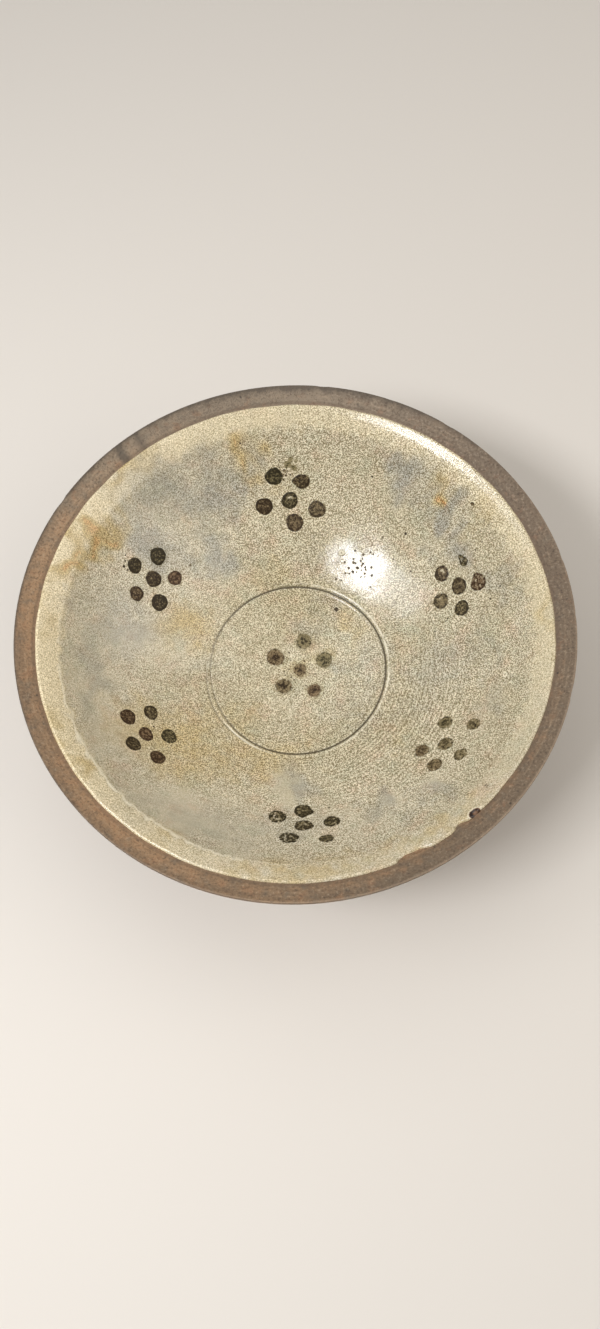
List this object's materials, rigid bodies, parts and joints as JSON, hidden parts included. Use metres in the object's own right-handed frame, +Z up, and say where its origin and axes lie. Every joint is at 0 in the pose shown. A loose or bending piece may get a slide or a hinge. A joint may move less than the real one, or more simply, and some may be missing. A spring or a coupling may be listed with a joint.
{
  "type": "stoneware dish",
  "caption": "Thrown round stoneware dish with a bare clay rim band, a crackled celadon-like glaze inside, one incised ring and brushed iron dabs in sprigs, standing on a foot ring.",
  "frame": {"origin": "middle of the foot ring's underside, where the dish stands", "axes": "+Z up along the axis it was thrown on; +Y towards the far sprig, +X to the right of it"},
  "size_m": [0.29, 0.29, 0.1],
  "materials": {
    "clay": "bare fired stoneware, toasted brown, matt with a faint satin",
    "glaze": "cream to grey-green ash glaze, finely crackled, semi-gloss",
    "iron": "dark brown iron pigment, brushed, semi-gloss"
  },
  "bodies": {
    "root": {"stoneware_body": "clay", "interior_glaze": "glaze", "iron_dab_centre_middle": "iron", "iron_dab_centre_1": "iron", "iron_dab_centre_2": "iron", "iron_dab_centre_3": "iron", "iron_dab_centre_4": "iron", "iron_dab_centre_5": "iron", "iron_dab_far_middle": "iron", "iron_dab_far_1": "iron", "iron_dab_far_2": "iron", "iron_dab_far_3": "iron", "iron_dab_far_4": "iron", "iron_dab_far_5": "iron", "iron_dab_left_far_middle": "iron", "iron_dab_left_far_1": "iron", "iron_dab_left_far_2": "iron", "iron_dab_left_far_3": "iron", "iron_dab_left_far_4": "iron", "iron_dab_left_far_5": "iron", "iron_dab_left_near_middle": "iron", "iron_dab_left_near_1": "iron", "iron_dab_left_near_2": "iron", "iron_dab_left_near_3": "iron", "iron_dab_left_near_4": "iron", "iron_dab_left_near_5": "iron", "iron_dab_near_middle": "iron", "iron_dab_near_1": "iron", "iron_dab_near_2": "iron", "iron_dab_near_3": "iron", "iron_dab_near_4": "iron", "iron_dab_near_5": "iron", "iron_dab_right_near_middle": "iron", "iron_dab_right_near_1": "iron", "iron_dab_right_near_2": "iron", "iron_dab_right_near_3": "iron", "iron_dab_right_near_4": "iron", "iron_dab_right_near_5": "iron", "iron_dab_right_far_middle": "iron", "iron_dab_right_far_1": "iron", "iron_dab_right_far_2": "iron", "iron_dab_right_far_3": "iron", "iron_dab_right_far_4": "iron", "iron_dab_right_far_5": "iron"}
  },
  "joints": []
}
